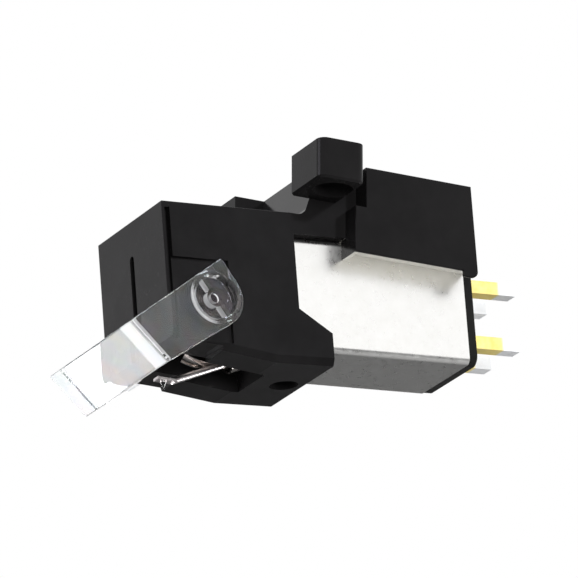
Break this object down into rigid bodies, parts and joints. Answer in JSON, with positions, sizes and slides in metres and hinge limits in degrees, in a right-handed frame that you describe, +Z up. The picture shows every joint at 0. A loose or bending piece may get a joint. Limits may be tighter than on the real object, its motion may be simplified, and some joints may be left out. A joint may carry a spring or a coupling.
{
  "type": "turntable stylus cartridge",
  "caption": "Phono cartridge with a black eared mounting bracket, bright shield can, pull-off stylus holder, sprung cantilever, clear flip-up guard and rear terminal pins.",
  "frame": {"origin": "midway between the axes of the two mounting holes, on the ears' top face", "axes": "+X across to the right-hand ear, +Y to the rear where the terminal pins are, +Z up to the headshell"},
  "size_m": [0.0168, 0.0311, 0.0168],
  "materials": {
    "black_plastic": "semi-gloss moulded",
    "terminal_plastic": "satin moulded",
    "can_metal": "satin plated",
    "clear_plastic": "clear",
    "pin_metal": "gold-plated with tinned ends",
    "sleeve_metal": "bright",
    "cantilever_metal": "bright drawn",
    "shank_metal": "satin",
    "diamond": "polished",
    "magnet_metal": "ground",
    "damper_rubber": "matte",
    "pole_iron": "satin",
    "bobbin_plastic": "moulded",
    "coil_copper": "enamelled wire"
  },
  "bodies": {
    "cartridge": {"mounting_bracket": "black_plastic", "shield_can": "can_metal", "terminal_block": "terminal_plastic", "pin_left_signal": "pin_metal", "pin_right_signal": "pin_metal", "pin_left_return": "pin_metal", "pin_right_return": "pin_metal", "yoke": "pole_iron", "pole_holder": "bobbin_plastic", "pole_piece_left": "pole_iron", "pole_piece_right": "pole_iron", "bobbin_left": "bobbin_plastic", "bobbin_right": "bobbin_plastic", "winding_left": "coil_copper", "winding_right": "coil_copper"},
    "stylus": {"stylus_holder": "black_plastic", "stylus_sleeve": "sleeve_metal", "damper": "damper_rubber", "tie_anchor": "sleeve_metal"},
    "guard": {"stylus_guard": "clear_plastic"},
    "needle": {"cantilever": "cantilever_metal", "magnet": "magnet_metal", "tie_wire": "sleeve_metal", "tip_shank": "shank_metal", "diamond_tip": "diamond"}
  },
  "joints": [
    {"name": "stylus_pull", "type": "slide", "parent": "cartridge", "child": "stylus", "axis": [0, -0.9966, -0.0819], "range_m": [0, 0.008]},
    {"name": "guard_pivot", "type": "hinge", "parent": "stylus", "child": "guard", "pos_m": [0, -0.00857, -0.01174], "axis": [-1, 0, 0], "range_deg": [0, 75]},
    {"name": "cantilever_flex", "type": "hinge", "parent": "stylus", "child": "needle", "pos_m": [0, -0.00398, -0.01351], "axis": [-1, 0, 0], "range_deg": [-2, 3], "stiffness_Nm_per_rad": 0.004}
  ]
}
